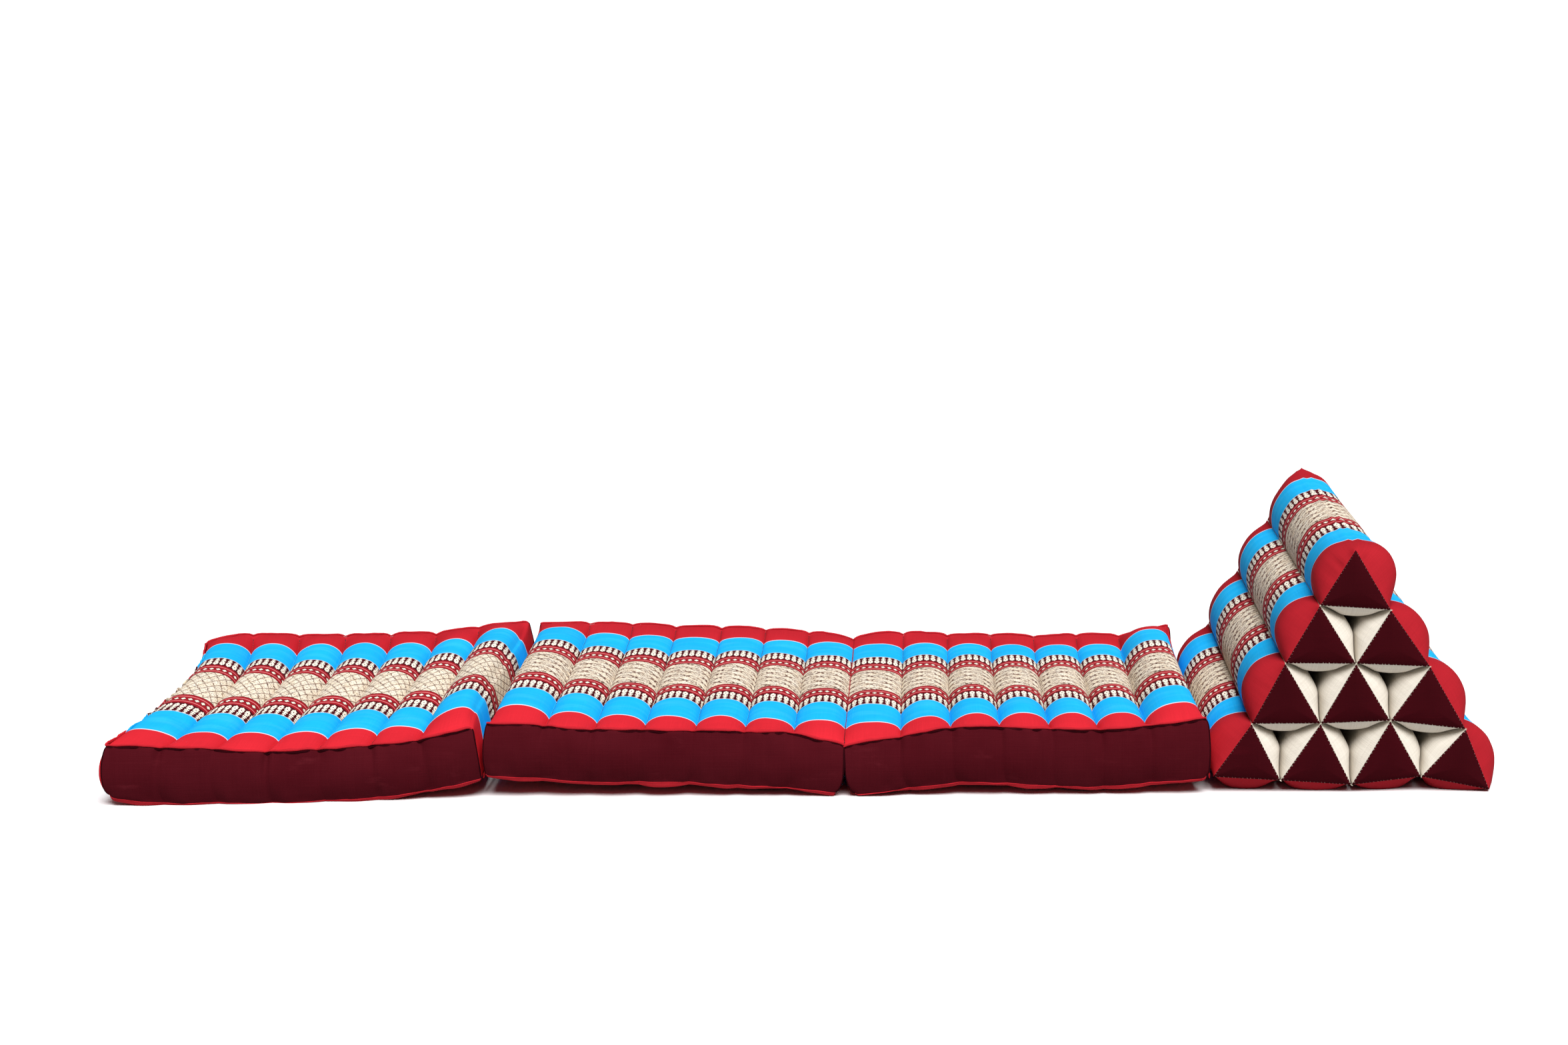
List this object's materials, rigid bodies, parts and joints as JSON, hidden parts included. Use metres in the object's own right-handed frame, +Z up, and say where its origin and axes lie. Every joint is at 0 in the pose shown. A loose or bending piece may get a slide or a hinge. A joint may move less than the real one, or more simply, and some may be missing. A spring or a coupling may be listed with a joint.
{
  "type": "thai triangle cushion",
  "caption": "A stuffed triangle cushion of sewn rolls with a chain of channelled fold-out mats, laid open along a floor to lie on.",
  "frame": {"origin": "on the floor, under the middle of the opened cushion", "axes": "+X along the chain from the far mat to the triangle, +Y across the width away from the front, +Z up"},
  "size_m": [1.7041, 0.5711, 0.3073],
  "materials": {
    "printed_cotton": "matt woven cotton with printed stripes",
    "maroon_cotton": "matt slubby woven cotton"
  },
  "bodies": {
    "root": {"mat_far": "printed_cotton", "mat_middle": "printed_cotton", "mat_near": "printed_cotton", "hinge_far": "printed_cotton", "hinge_middle": "printed_cotton", "hinge_near": "printed_cotton", "roll_1_1": "maroon_cotton", "roll_2_1": "maroon_cotton", "roll_2_2": "maroon_cotton", "roll_3_1": "maroon_cotton", "roll_3_2": "maroon_cotton", "roll_3_3": "maroon_cotton", "roll_4_1": "maroon_cotton", "roll_4_2": "maroon_cotton", "roll_4_3": "maroon_cotton", "roll_4_4": "maroon_cotton"}
  },
  "joints": []
}
